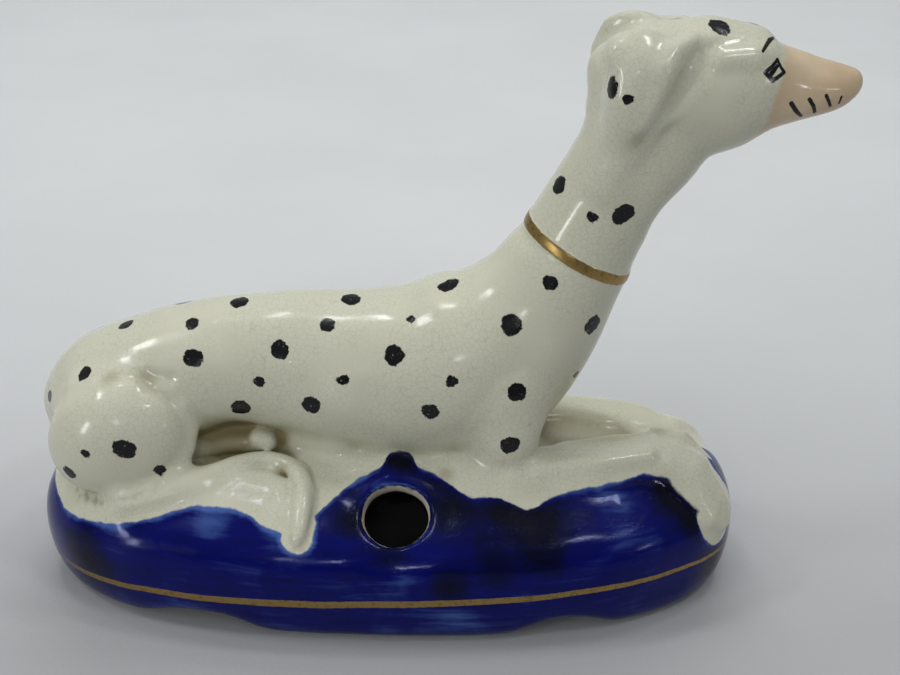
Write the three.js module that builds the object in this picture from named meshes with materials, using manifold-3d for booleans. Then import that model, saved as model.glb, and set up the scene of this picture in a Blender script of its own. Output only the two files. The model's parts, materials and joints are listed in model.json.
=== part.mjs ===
// Reclining spotted dog on an oval plinth: a glazed earthenware quill holder.
// Millimetres, +Z up, +X from the rump towards the nose, the dog's right side towards -Y.
// The dog is a pair of thin pressed half shells with solid legs, ears, haunches and tail
// set on them; the plinth is a hollow shell, open underneath, on a scalloped foot rim.

import * as THREE from 'three';
import Module from 'manifold-3d';
import { mergeVertices } from 'three/addons/utils/BufferGeometryUtils.js';
import { LoftGeometry } from 'three/addons/geometries/LoftGeometry.js';

const wasm = await Module();
wasm.setup();

// Driving dimensions
const GAP = 0.3;                  // clearance between neighbouring pieces
const WALL = 4;                   // thickness of the pressed clay
const FLOOR_WALL = 5.5;           // thicker clay along the belly, where it sits on the plinth
const PLINTH_ROUNDNESS = 2.4;     // exponent of the plinth's oval: 2 is an ellipse
const FOOT_WALL = 5;              // width of the foot rim
const ARCH_HEIGHT = 4;            // rise of the scallops between the feet
const ARCHES = [[-35, 33], [35, 27]];   // centre along X and span of each scallop
const HOLE_DIAMETER = 11.8;       // takes a quill or a pen
const HOLE_CENTRE = new THREE.Vector3(2.5, -26.4, 25.7);
const HOLE_TILT = 44;             // degrees by which the hole's axis rises outwards
const BORE_LENGTH = 30;
const BOSS_RADIUS = 13.5;         // rounded swelling of the plinth round the hole
const BOSS_RISE = 0.6;            // how far the swelling stands proud of the hole's rim
const COLLAR_CENTRE = new THREE.Vector3(36.7, 0, 70.4);
const COLLAR_TILT = 61;           // degrees by which the neck rises at the collar
const COLLAR_WIDTH = 2.4;
const COLLAR_RELIEF = 0.9;        // how far the collar stands out from the neck
const BIG = 400;                  // a size that clears the whole object

// The plinth's outline by height: [z, half length, half width]
const PLINTH_OUTSIDE = [
  [0, 66.8, 31.4],
  [1.2, 68.4, 32.8],
  [6, 70.2, 34.1],
  [13, 71, 34.6],
  [18, 70.3, 33.9],
  [21.4, 68, 31.2],
  [24, 63.6, 26.4],
  [26, 57, 20.4],
  [27.6, 45, 13],
  [28.5, 26, 6.5],
  [28.7, 4, 1],
];

const PLINTH_INSIDE = [
  [-1, 66.8 - FOOT_WALL, 31.4 - FOOT_WALL],
  [3, 65, 29],
  [14, 66, 29.6],
  [18, 62, 26.4],
  [21, 52, 19],
  [23, 34, 10],
  [23.6, 8, 3],
];

// Spines, each station [x, y, z, half width, half height], with half width level and
// half height square to the run of the spine
const BODY_SPINE = [
  [-69, 0, 28.4, 1.2, 1.4],
  [-67.8, 0, 28.8, 6, 6.4],
  [-64, 0, 30.4, 10.6, 11.2],
  [-57.5, 0, 33.3, 14.2, 14.7],
  [-50, 0, 36.9, 15, 15.1],
  [-41, 0, 41.3, 13.8, 14.1],
  [-31, 0, 44.5, 12.6, 13.1],
  [-20, 0, 44.3, 13.8, 14.4],
  [-8, 0, 43, 15.8, 16.2],
  [3, 0, 42.4, 17.2, 17.6],
  [11, 0, 43.6, 17.8, 18.4],
  [18.1, 0, 46.7, 17.6, 19],
  [24.3, 0, 51.7, 15.8, 16.8],
  [29, 0, 57.3, 13.8, 14.6],
  [32.3, 0, 62.6, 12.4, 13],
  [35.7, 0, 68.7, 11.4, 11.8],
  [38.9, 0, 74.9, 10.8, 11],
];

const NECK_SPINE = [
  [32.3, 0, 62.6, 12.4, 13],
  [35.7, 0, 68.7, 11.4, 11.8],
  [38.5, 0, 74.4, 10.8, 11.1],
  [41.5, 0, 80.4, 10.5, 10.8],
  [45, 0, 86.6, 10.5, 10.9],
  [48.6, 0, 92.8, 10.6, 11.6],
  [52, 0, 99, 9.6, 10],
  [54, 0, 103, 5, 5],
];

const HEAD_SPINE = [
  [39.2, 0, 102.4, 1, 1],
  [40.4, 0, 102.4, 6, 6.2],
  [44.5, 0, 102.4, 9.8, 10.2],
  [51, 0, 101.8, 11.2, 12],
  [57.5, 0, 101.6, 11.4, 12.4],
  [62.9, 0, 102.2, 10.6, 11.6],
  [68.2, 0, 102.8, 9, 9.8],
  [72, 0, 102.4, 7.4, 7.9],
  [76, 0, 102.1, 6.2, 6.1],
  [80, 0, 102.1, 5.1, 4.9],
  [83.4, 0, 102.4, 4, 3.8],
  [85.8, 0, 102.8, 2.6, 2.4],
  [86.8, 0, 103.1, 0.8, 0.8],
];

// Each foreleg is an upper arm down to the elbow and a forearm that lies on the plinth,
// with the paw bent over the plinth's end. The left one lies nearer the middle, and lower.
const RIGHT_UPPER_ARM = [
  [24.5, -9.5, 54, 3.4, 5],
  [24, -11.4, 47, 5, 7],
  [24, -12.6, 39, 5.4, 7.2],
  [23.4, -13.2, 32.4, 5.4, 6.4],
  [23, -13.2, 28.4, 3.6, 4.6],
];

const RIGHT_FOREARM = [
  [18.5, -12.4, 28.8, 2, 2],
  [22, -12.8, 28.6, 5.2, 4.8],
  [30, -12.6, 27.2, 6, 5],
  [40, -11.6, 27.2, 5.4, 4.6],
  [49, -10, 28.2, 4.9, 4.4],
  [55.2, -9.4, 27.9, 4.8, 4.2],
  [60.2, -10.4, 25.2, 4.8, 3.6],
  [64.2, -12.8, 20.8, 4.5, 3.1],
  [65.8, -15, 16.8, 3.7, 2.5],
  [65.9, -16, 14.6, 1.4, 1.2],
];

const LEFT_UPPER_ARM = RIGHT_UPPER_ARM.map(([x, y, z, w, h]) => [x, -y, z, w, h]);

const LEFT_FOREARM = [
  [18.5, 10.4, 27.4, 2, 2],
  [22, 10.2, 27.2, 5.2, 4.6],
  [31, 8.6, 25.8, 5.8, 4.7],
  [41, 7.6, 25.2, 5.2, 4.6],
  [50, 7.8, 25, 4.8, 4.3],
  [56, 9.2, 24.6, 4.8, 4],
  [60.6, 11.4, 22.4, 4.7, 3.6],
  [64, 13.8, 19.2, 4.4, 3.1],
  [65.4, 15.6, 15.8, 3.6, 2.5],
  [65.5, 16.4, 13.8, 1.4, 1.2],
];

const HIND_FOOT_SPINE = [
  [-44, -9, 29, 3.4, 3],
  [-34, -8, 29.2, 3.2, 2.9],
  [-27, -7, 29.3, 3.2, 2.8],
  [-22.6, -6.4, 29.2, 2.6, 2.4],
  [-20.9, -6.2, 29.1, 1, 1],
];

const EAR_SPINE = [
  [49, -5.4, 112.8, 3.4, 1.2],
  [48.2, -7.8, 111, 7.8, 2.2],
  [46.9, -9.9, 107.4, 9.4, 2.6],
  [45.9, -11.3, 103, 8.2, 2.4],
  [45.3, -11.8, 98, 5.6, 2],
  [45.1, -11.8, 94.6, 3, 1.5],
  [45.1, -11.6, 92.6, 1, 0.8],
];

const TAIL_SPINE = [
  [-52, -22, 24.2, 2.4, 2.4],
  [-44, -20.8, 25.8, 2.4, 2.4],
  [-36.6, -18.4, 27, 2.3, 2.3],
  [-29.8, -14.4, 28.3, 2.2, 2.2],
  [-23.4, -12.6, 28.7, 2.2, 2.2],
  [-18.2, -15, 28.3, 2.1, 2.1],
  [-15.7, -20.4, 27.1, 2, 2],
  [-15.2, -26, 24.9, 1.9, 1.9],
  [-15.7, -30.2, 22, 1.7, 1.7],
  [-16, -31.8, 20.4, 0.8, 0.8],
];

// The right haunch: an egg-shaped pad of clay
const HAUNCH_CENTRE = [-52, -13.2, 33.8];
const HAUNCH_HALF_SIZE = [14.8, 9.6, 12.6];
const HAUNCH_PITCH = 18;          // degrees by which its long axis dips at the back

// Stations of the head's spine that are hollow, and of the neck's that the collar lies on
const SKULL_STATIONS = [1, 8];
const COLLAR_STATIONS = [0, 5];

// How finely each form is made: rings along it and corners round it
const PLINTH_DETAIL = { count: 13, sides: 52 };
const PLINTH_HOLLOW_DETAIL = { count: 7, sides: 24 };
const BODY_DETAIL = { count: 26, sides: 26 };
const BODY_HOLLOW_DETAIL = { count: 14, sides: 12 };
const NECK_DETAIL = { count: 8, sides: 26 };
const NECK_HOLLOW_DETAIL = { count: 6, sides: 12 };
const HEAD_DETAIL = { count: 17, sides: 26 };
const HEAD_HOLLOW_DETAIL = { count: 7, sides: 12 };
const COLLAR_DETAIL = { count: 4, sides: 24 };
const UPPER_ARM_DETAIL = { count: 7, sides: 14 };
const FOREARM_DETAIL = { count: 16, sides: 12 };
const HIND_FOOT_DETAIL = { count: 7, sides: 10 };
const EAR_DETAIL = { count: 9, sides: 16 };
const TAIL_DETAIL = { count: 19, sides: 8 };
const BALL_FACETS = [24, 15];
const HAUNCH_FACETS = [20, 13];
const BORE_FACETS = 24;
const ARCH_FACETS = 8;

const GLAZES = {
  cream: { color: 0xdcdcc8, roughness: 0.18, metalness: 0 },
  cobalt: { color: 0x101c78, roughness: 0.12, metalness: 0 },
  gilt: { color: 0x9a7432, roughness: 0.35, metalness: 1 },
};

// Solids and geometries

function solidOf(geometry) {
  const bare = new THREE.BufferGeometry();
  bare.setAttribute('position', geometry.getAttribute('position'));
  bare.setIndex(geometry.getIndex());
  const merged = mergeVertices(bare, 1e-4);
  const corners = merged.getIndex().array;
  const kept = [];
  for (let i = 0; i < corners.length; i += 3) {
    const [a, b, c] = [corners[i], corners[i + 1], corners[i + 2]];
    if (a !== b && b !== c && c !== a) kept.push(a, b, c);
  }
  return new wasm.Manifold(new wasm.Mesh({
    numProp: 3,
    vertProperties: new Float32Array(merged.getAttribute('position').array),
    triVerts: new Uint32Array(kept),
  }));
}

function geometryOf(solid) {
  const mesh = solid.getMesh();
  const geometry = new THREE.BufferGeometry();
  geometry.setAttribute('position', new THREE.BufferAttribute(mesh.vertProperties, 3));
  geometry.setIndex(new THREE.BufferAttribute(mesh.triVerts, 1));
  geometry.computeVertexNormals();
  return geometry;
}

// The biggest body of a solid, without the slivers that a cut leaves behind
function largestBody(solid) {
  const bodies = solid.decompose();
  return bodies.reduce((best, body) => (body.volume() > best.volume() ? body : best));
}

// Splines run through the stations, so a few of them give a smooth form
function resampled(stations, count) {
  const size = stations[0].length;
  const place = new THREE.CatmullRomCurve3(
    stations.map((s) => new THREE.Vector3(s[0], s[1], s[2])), false, 'centripetal');
  const section = new THREE.CatmullRomCurve3(
    stations.map((s) => new THREE.Vector3(s[size - 2], s[size - 1], 0)), false, 'catmullrom', 0.5);
  const points = [];
  for (let i = 0; i < count; i++) {
    const t = i / (count - 1);
    const half = section.getPoint(t);
    points.push({
      centre: place.getPoint(t),
      tangent: place.getTangent(t),
      width: half.x,
      height: half.y,
    });
  }
  return points;
}

const UP = new THREE.Vector3(0, 0, 1);
const FORWARD = new THREE.Vector3(1, 0, 0);
const RIGHT = new THREE.Vector3(0, -1, 0);

// A closed form along a spine, with oval sections square to it. A negative growth makes the
// hollow inside the form, which ends where the form gets too thin to be hollow.
function spineSolid(stations, { count, sides, grow = 0, lift = 0, upward = UP }) {
  const stops = resampled(stations, count).filter(({ width }) => grow >= 0 || width + grow > 1);
  const sections = stops.map(({ centre, tangent, width, height }) => {
    const across = upward.clone().cross(tangent).normalize();
    const up = new THREE.Vector3().crossVectors(tangent, across);
    const ring = [];
    for (let i = 0; i < sides; i++) {
      const angle = (i / sides) * 2 * Math.PI;
      ring.push(centre.clone()
        .addScaledVector(across, (width + grow) * Math.cos(angle))
        .addScaledVector(up, (height + grow - lift) * Math.sin(angle) + lift));
    }
    return ring;
  });
  const endGrowth = Math.max(grow, 0);
  sections[0].forEach((point) => point.addScaledVector(stops[0].tangent, -endGrowth));
  sections.at(-1).forEach((point) => point.addScaledVector(stops.at(-1).tangent, endGrowth));
  return solidOf(new LoftGeometry(sections, { capStart: true, capEnd: true }));
}

// A stack of rounded ovals
function ovalSolid(levels, { count, sides, grow = 0 }) {
  const heights = resampled(levels.map(([z, a, b]) => [0, 0, z, a, b]), count);
  const rings = heights.map(({ centre, width, height }) => {
    const ring = [];
    for (let i = 0; i < sides; i++) {
      const angle = (i / sides) * 2 * Math.PI;
      const c = Math.cos(angle);
      const s = Math.sin(angle);
      const power = 2 / PLINTH_ROUNDNESS;
      ring.push(new THREE.Vector3(
        (width + grow) * Math.sign(c) * Math.abs(c) ** power,
        (height + grow) * Math.sign(s) * Math.abs(s) ** power,
        centre.z + grow,
      ));
    }
    return ring;
  });
  return solidOf(new LoftGeometry(rings, { capStart: true, capEnd: true }));
}

function mirrored(solid) {
  return solid.mirror([0, 1, 0]);
}

// The half of space on one side of the plane y = 0, short of it by half a gap
function sideOf(sign) {
  const box = new THREE.BoxGeometry(BIG, BIG, BIG);
  box.translate(0, sign * (BIG / 2 + GAP / 2), 0);
  return solidOf(box);
}

const degrees = THREE.MathUtils.degToRad;
const rightSide = sideOf(-1);
const leftSide = sideOf(1);

// Plinth

function plinthOutside(grow = 0) {
  const boss = new THREE.SphereGeometry(BOSS_RADIUS + grow, ...BALL_FACETS);
  boss.rotateX(Math.PI / 2);
  const inward = new THREE.Vector3(0, Math.cos(degrees(HOLE_TILT)), -Math.sin(degrees(HOLE_TILT)));
  const centre = HOLE_CENTRE.clone().addScaledVector(inward, BOSS_RADIUS - BOSS_RISE);
  boss.translate(centre.x, centre.y, centre.z);
  return ovalSolid(PLINTH_OUTSIDE, { ...PLINTH_DETAIL, grow }).add(solidOf(boss));
}

function quillHole() {
  const radius = HOLE_DIAMETER / 2;
  const bore = new THREE.CylinderGeometry(radius, radius, BORE_LENGTH, BORE_FACETS);
  bore.rotateX(-degrees(HOLE_TILT));
  bore.translate(HOLE_CENTRE.x, HOLE_CENTRE.y, HOLE_CENTRE.z);
  return solidOf(bore);
}

function arch([middle, span]) {
  const outline = new THREE.Shape();
  outline.moveTo(middle - span / 2, -1);
  outline.lineTo(middle - span / 2, 0);
  outline.bezierCurveTo(middle - span / 4, 0, middle - span / 4, ARCH_HEIGHT, middle, ARCH_HEIGHT);
  outline.bezierCurveTo(middle + span / 4, ARCH_HEIGHT, middle + span / 4, 0, middle + span / 2, 0);
  outline.lineTo(middle + span / 2, -1);
  const cutter = new THREE.ExtrudeGeometry(outline, { depth: BIG, bevelEnabled: false, curveSegments: ARCH_FACETS });
  cutter.rotateX(Math.PI / 2);
  cutter.translate(0, BIG / 2, 0);
  return solidOf(cutter);
}

function plinthShell() {
  let shell = plinthOutside().subtract(ovalSolid(PLINTH_INSIDE, PLINTH_HOLLOW_DETAIL));
  for (const span of ARCHES) shell = shell.subtract(arch(span));
  return shell.subtract(quillHole());
}

// Body, neck and head

function bodyOutside(grow = 0) {
  return spineSolid(BODY_SPINE, { ...BODY_DETAIL, grow });
}

function headOutside(grow = 0) {
  const neck = spineSolid(NECK_SPINE, { ...NECK_DETAIL, grow });
  return neck.add(spineSolid(HEAD_SPINE, { ...HEAD_DETAIL, grow }));
}

// Everything beyond the collar's plane, on the head's side (1) or the body's (-1)
function beyondCollar(side, clearance) {
  const box = new THREE.BoxGeometry(BIG, BIG, BIG);
  box.translate(side * (BIG / 2 + clearance), 0, 0);
  box.rotateY(-degrees(COLLAR_TILT));
  box.translate(COLLAR_CENTRE.x, COLLAR_CENTRE.y, COLLAR_CENTRE.z);
  return solidOf(box);
}

function bodyShell() {
  const hollow = spineSolid(BODY_SPINE, { ...BODY_HOLLOW_DETAIL, grow: -WALL, lift: FLOOR_WALL - WALL });
  return bodyOutside()
    .intersect(beyondCollar(-1, GAP / 2))
    .subtract(plinthOutside(GAP))
    .subtract(hollow);
}

function headShell() {
  const neckHollow = spineSolid(NECK_SPINE, { ...NECK_HOLLOW_DETAIL, grow: -WALL });
  const skull = HEAD_SPINE.slice(...SKULL_STATIONS);
  const headHollow = spineSolid(skull, { ...HEAD_HOLLOW_DETAIL, grow: -WALL });
  return headOutside()
    .intersect(beyondCollar(1, GAP / 2))
    .subtract(neckHollow.add(headHollow));
}

function collar() {
  const tilt = -degrees(COLLAR_TILT);
  const slice = new THREE.BoxGeometry(COLLAR_WIDTH, BIG, BIG);
  slice.rotateY(tilt);
  slice.translate(COLLAR_CENTRE.x, COLLAR_CENTRE.y, COLLAR_CENTRE.z);
  const lowerNeck = NECK_SPINE.slice(...COLLAR_STATIONS);
  const neck = (grow) => spineSolid(lowerNeck, { ...COLLAR_DETAIL, grow });
  return neck(COLLAR_RELIEF).subtract(neck(GAP)).intersect(solidOf(slice));
}

// Limbs, ears and tail

function haunch(grow = 0) {
  const pad = new THREE.SphereGeometry(1, ...HAUNCH_FACETS);
  pad.rotateX(Math.PI / 2);
  pad.scale(...HAUNCH_HALF_SIZE.map((half) => half + grow));
  pad.rotateY(-degrees(HAUNCH_PITCH));
  pad.translate(...HAUNCH_CENTRE);
  return solidOf(pad);
}

function foreleg(upperArm, forearm) {
  return spineSolid(upperArm, { ...UPPER_ARM_DETAIL, upward: FORWARD })
    .add(spineSolid(forearm, FOREARM_DETAIL));
}

function hindFoot(grow = 0) {
  return spineSolid(HIND_FOOT_SPINE, { ...HIND_FOOT_DETAIL, grow });
}

function ear() {
  return spineSolid(EAR_SPINE, { ...EAR_DETAIL, upward: RIGHT });
}

function tail() {
  return spineSolid(TAIL_SPINE, TAIL_DETAIL);
}

// Assembly

const dog = new THREE.Group();

function place(name, solid, glaze) {
  const material = new THREE.MeshStandardMaterial(GLAZES[glaze]);
  const mesh = new THREE.Mesh(geometryOf(largestBody(solid)), material);
  mesh.name = name;
  dog.add(mesh);
}

const plinth = plinthShell();
place('plinth_front_half', plinth.intersect(rightSide), 'cobalt');
place('plinth_back_half', plinth.intersect(leftSide), 'cobalt');

const body = bodyShell();
place('body_right_half', body.intersect(rightSide), 'cream');
place('body_left_half', body.intersect(leftSide), 'cream');

const head = headShell();
place('head_right_half', head.intersect(rightSide), 'cream');
place('head_left_half', head.intersect(leftSide), 'cream');
place('collar_band', collar(), 'gilt');

const trunk = bodyOutside(GAP).add(plinthOutside(GAP));
const rightHaunch = haunch().subtract(trunk);
const rightHindFoot = hindFoot().subtract(trunk).subtract(haunch(GAP));
const rightForeleg = foreleg(RIGHT_UPPER_ARM, RIGHT_FOREARM).subtract(trunk);
const leftForeleg = foreleg(LEFT_UPPER_ARM, LEFT_FOREARM).subtract(trunk);
const rightEar = ear().subtract(headOutside(GAP));
place('right_haunch', rightHaunch, 'cream');
place('left_haunch', mirrored(rightHaunch), 'cream');
place('right_hind_foot', rightHindFoot, 'cream');
place('left_hind_foot', mirrored(rightHindFoot), 'cream');
place('right_foreleg', rightForeleg, 'cream');
place('left_foreleg', leftForeleg, 'cream');
place('right_ear', rightEar, 'cream');
place('left_ear', mirrored(rightEar), 'cream');
place('tail', tail().subtract(trunk).subtract(haunch(GAP)).subtract(hindFoot(GAP)), 'cream');

// The origin is the middle of the bounding box, on the surface that the plinth stands on
const box = new THREE.Box3().setFromObject(dog);
const middle = box.getCenter(new THREE.Vector3());
dog.position.set(-middle.x, -middle.y, -box.min.z);

const figurine = new THREE.Group();
figurine.name = 'dog_figurine';
figurine.add(dog);

export default figurine;
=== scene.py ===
"""Looks of the reclining spotted dog quill holder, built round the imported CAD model.

The figure is one skin of glazed clay, so its form is worked out as one distance field in
millimetres: each CAD node's field is softened, the fields are joined with small fillets, as a
potter smooths slip into a joint, and the details are modelled in. The skin is then cut up
again along the joints, so that each CAD node has one piece that stands for it.
"""

import json
import math

import bpy
import numpy as np
import openvdb as vdb
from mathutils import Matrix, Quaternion, Vector


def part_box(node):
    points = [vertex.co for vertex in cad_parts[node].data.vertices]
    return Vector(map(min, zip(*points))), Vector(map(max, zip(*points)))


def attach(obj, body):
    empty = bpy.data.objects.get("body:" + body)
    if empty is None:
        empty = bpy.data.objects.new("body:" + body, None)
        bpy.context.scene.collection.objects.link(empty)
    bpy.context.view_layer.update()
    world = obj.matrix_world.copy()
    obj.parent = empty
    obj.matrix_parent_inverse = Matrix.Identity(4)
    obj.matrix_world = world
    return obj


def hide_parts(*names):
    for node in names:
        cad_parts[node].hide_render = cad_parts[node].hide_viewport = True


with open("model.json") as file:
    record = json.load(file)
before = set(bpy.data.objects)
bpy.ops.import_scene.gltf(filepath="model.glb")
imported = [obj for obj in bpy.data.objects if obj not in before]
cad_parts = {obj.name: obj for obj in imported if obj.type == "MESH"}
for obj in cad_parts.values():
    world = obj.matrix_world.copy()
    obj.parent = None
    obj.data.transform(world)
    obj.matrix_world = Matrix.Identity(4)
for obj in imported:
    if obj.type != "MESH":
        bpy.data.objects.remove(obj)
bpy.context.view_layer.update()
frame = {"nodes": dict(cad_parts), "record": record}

MM = 0.001                          # metres in a millimetre
STEP = 0.5   # spacing of the distance field, mm
BAND = 6.0                          # reach of a node's own field, mm
MARGIN = 4.0                        # room round the figure in the field, mm
SEAM_DEPTH = 0.6                    # how far inside the skin a joint's faces start, mm
HALF_LAP = 0.6                      # how far half shells run on past the middle, mm
HALF_EDGE = 0.3                     # how near the middle their edges lie, mm
COLLAR_LAP = 2.2                    # how far the neck runs on under the collar, mm
NECK_REACH = 14                     # what lies this near the collar's centre is neck, mm
BORE_RADIUS = 5.9                   # the quill hole, mm
BORE_DEPTH = 12                     # how far in from its mouth it is cut, mm
LIP_RADIUS = 9.8                    # where the plinth is rubbed smooth round it, mm

CREAM_PIECES = [
    "body_right_half", "body_left_half", "head_right_half", "head_left_half",
    "right_haunch", "left_haunch", "right_hind_foot", "left_hind_foot",
    "right_foreleg", "left_foreleg", "right_ear", "left_ear", "tail",
]
COBALT_PIECES = ["plinth_front_half", "plinth_back_half"]
PIECES = CREAM_PIECES + COBALT_PIECES + ["collar_band"]


# ---- places, from the frame

def box_mm(*names):
    """Lowest and highest corner of some nodes together, in mm."""
    corners = [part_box(name) for name in names]
    low = np.min([corner[0] for corner in corners], axis=0) / MM
    high = np.max([corner[1] for corner in corners], axis=0) / MM
    return low, high


whole_low, whole_high = box_mm(*PIECES)
plinth_low, plinth_high = box_mm(*COBALT_PIECES)
plinth_middle = (plinth_low + plinth_high) / 2
MID_X = plinth_middle[0]            # middle of the plinth, the origin of the places below


def node_mesh(name):
    """A node's corners in mm and its triangles."""
    mesh = frame["nodes"][name].data
    corners = np.empty(len(mesh.vertices) * 3, np.float32)
    mesh.vertices.foreach_get("co", corners)
    mesh.calc_loop_triangles()
    triangles = np.empty(len(mesh.loop_triangles) * 3, np.int32)
    mesh.loop_triangles.foreach_get("vertices", triangles)
    return corners.reshape(-1, 3) / MM, triangles.reshape(-1, 3).astype(np.uint32)


def collar_frame():
    """Centre of the collar band and the direction of the neck through it."""
    corners, _ = node_mesh("collar_band")
    centre = (corners.max(0) + corners.min(0)) / 2
    spread = np.linalg.eigh(np.cov((corners - centre).T))[1]
    along = spread[:, 0] * np.sign(spread[2, 0])
    return centre, along


collar_centre, neck_direction = collar_frame()

# ---- distance fields

grid_low = np.floor((whole_low - MARGIN) / STEP).astype(int)
grid_high = np.ceil((whole_high + MARGIN) / STEP).astype(int)
grid_shape = tuple(int(n) for n in grid_high - grid_low + 1)
axis_x, axis_y, axis_z = [
    ((grid_low[a] + np.arange(grid_shape[a])) * STEP).astype(np.float32) for a in range(3)
]


def grid_part(low, high):
    """The part of the grid between two corners in mm, as slices."""
    first = np.maximum(np.floor(low / STEP).astype(int) - grid_low, 0)
    last = np.minimum(np.ceil(high / STEP).astype(int) - grid_low + 1, grid_shape)
    return tuple(slice(int(a), int(b)) for a, b in zip(first, last))


def window(*names):
    """The part of the grid round some nodes."""
    low, high = box_mm(*names)
    return grid_part(low - BAND, high + BAND)


def coordinates(where):
    """x, y and z over a part of the grid, ready to broadcast."""
    return (
        axis_x[where[0]][:, None, None],
        axis_y[where[1]][None, :, None],
        axis_z[where[2]][None, None, :],
    )


def along_and_apart(where, point, direction):
    """How far part of the grid lies from a point along a direction, and its distance squared."""
    x, y, z = coordinates(where)
    dx, dy, dz = x - point[0], y - point[1], z - point[2]
    along = dx * direction[0] + dy * direction[1] + dz * direction[2]
    return along, dx * dx + dy * dy + dz * dz


def level_set(name, where):
    """A node's signed distance over a part of the grid. Half shells run on past the middle
    and past the collar's plane, so that they join without a groove."""
    corners, triangles = node_mesh(name)
    if name.endswith("half"):
        side = np.sign(np.median(corners[:, 1]))
        middle = np.abs(corners[:, 1]) < HALF_EDGE
        corners[middle, 1] = -side * HALF_LAP
        if name not in COBALT_PIECES:
            along = (corners - collar_centre) @ neck_direction
            apart = np.linalg.norm(corners - collar_centre, axis=1)
            at_collar = (np.abs(along) < COLLAR_LAP) & (apart < NECK_REACH)
            shift = np.sign(along[at_collar]) * COLLAR_LAP
            corners[at_collar] -= shift[:, None] * neck_direction
    reach = BAND / STEP
    grid = vdb.FloatGrid.createLevelSetFromPolygons(
        corners.astype(np.float32), triangles=triangles,
        transform=vdb.createLinearTransform(STEP), exBandWidth=reach, inBandWidth=reach)
    shape = tuple(s.stop - s.start for s in where)
    start = tuple(int(s.start + low) for s, low in zip(where, grid_low))
    field = np.empty(shape, np.float32)
    grid.copyToArray(field, ijk=start)
    return field


def blurred(field, sigma):
    """Gaussian blur, sigma in mm."""
    reach = max(1, int(math.ceil(3 * sigma / STEP)))
    taps = np.exp(-0.5 * (np.arange(-reach, reach + 1) * STEP / sigma) ** 2)
    taps = (taps / taps.sum()).astype(np.float32)
    for axis in range(3):
        padded = np.pad(field, [(reach, reach) if a == axis else (0, 0) for a in range(3)], "edge")
        total = np.zeros_like(field)
        for i, tap in enumerate(taps):
            cut = [slice(None)] * 3
            cut[axis] = slice(i, i + field.shape[axis])
            total += tap * padded[tuple(cut)]
        field = total
    return field


def softened(field, sigma, limit=None):
    """Rounds off a distance field's facets and edges without moving its flat parts."""
    limit = limit or 2.5 * sigma
    share = math.erf(limit / sigma / math.sqrt(2))
    close = np.clip(field, -limit, limit)
    return blurred(close, sigma) / share + (field - close)


def filled(field, depth=1.7):
    """Fills a hollow shell across its width."""
    wall = field < -depth
    reached = np.maximum.accumulate(wall, axis=1)
    left = np.maximum.accumulate(wall[:, ::-1], axis=1)[:, ::-1]
    return np.where(reached & left, np.minimum(field, -depth), field)


def smooth_min(a, b, radius):
    h = np.maximum(radius - np.abs(a - b), 0) / radius
    return np.minimum(a, b) - h * h * radius / 4


def smooth_max(a, b, radius):
    return -smooth_min(-a, -b, radius)


phi = np.full(grid_shape, BAND, np.float32)      # the figure's skin is where this is 0
nearest = np.full(grid_shape, BAND, np.float32)  # the nearest piece's own field
owner = np.zeros(grid_shape, np.int8)            # which piece that is


def claim(name, where, field):
    """The nearest piece owns the clay."""
    closer = field < nearest[where]
    nearest[where][closer] = field[closer]
    owner[where][closer] = PIECES.index(name)


def add(where, field, fillet):
    phi[where] = smooth_min(phi[where], field, fillet) if fillet else np.minimum(phi[where], field)


def add_trunk():
    """Body and head, each pressed in two halves and luted along the middle and at the collar."""
    halves = CREAM_PIECES[:4]
    where = window(*halves)
    whole = np.minimum.reduce([level_set(name, where) for name in halves])
    whole = softened(filled(whole), 1.6, 1.7)
    _, y, _ = coordinates(where)
    past_collar, _ = along_and_apart(where, collar_centre, neck_direction)
    for name in halves:
        mine = (y < 0) == ("right" in name)
        mine = mine & ((past_collar > 0) == name.startswith("head"))
        claim(name, where, np.where(mine, whole, BAND))
    add(where, whole, 0)


def add_piece(name, sigma, fillet):
    where = window(name)
    field = softened(level_set(name, where), sigma)
    claim(name, where, field)
    add(where, field, fillet)


add_trunk()
for name in ("right_haunch", "left_haunch"):
    add_piece(name, 1.2, 2.2)
for name in ("right_foreleg", "left_foreleg"):
    add_piece(name, 1.0, 4.5)
for name in ("right_ear", "left_ear"):
    add_piece(name, 0.9, 2.5)


# Plinth: the outside is softened as a filled form, then the hollow and the bore are cut

def bore_axis():
    """A point on the quill hole's axis and its outward direction, from the stated openings."""
    boxes = {o["name"]: np.array(o["box_m"]) / MM for o in frame["record"]["physics"]["openings"]}
    mouth = boxes["quill_hole_mouth"].mean(0)
    inner = boxes["quill_hole_inner_end"].mean(0)
    outward = (mouth - inner) / np.linalg.norm(mouth - inner)
    return mouth, outward


bore_point, bore_outward = bore_axis()


def bore_field(where):
    """Distance from the quill hole, which goes on outwards without end."""
    along, apart = along_and_apart(where, bore_point, bore_outward)
    across = np.sqrt(np.maximum(apart - along * along, 0))
    return np.maximum(across - BORE_RADIUS, -BORE_DEPTH - along)


inside_depth = np.full(grid_shape, -BAND, np.float32)   # how deep a place lies in the plinth


def add_plinth():
    where = window(*COBALT_PIECES)
    shell = np.minimum.reduce([level_set(name, where) for name in COBALT_PIECES])
    solid = filled(shell)
    hollow = np.maximum(-shell, solid + 1.9)
    outside = softened(solid, 1.8, 1.7)
    inside_depth[where] = -blurred(solid, 0.8)
    field = smooth_max(outside, -softened(hollow, 0.9), 1.0)
    field = smooth_max(field, -bore_field(where), 1.2).astype(np.float32)
    _, y, _ = coordinates(where)
    claim("plinth_front_half", where, np.where(y < 0, field, BAND))
    claim("plinth_back_half", where, np.where(y >= 0, field, BAND))
    add(where, field, 2.0)


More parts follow.
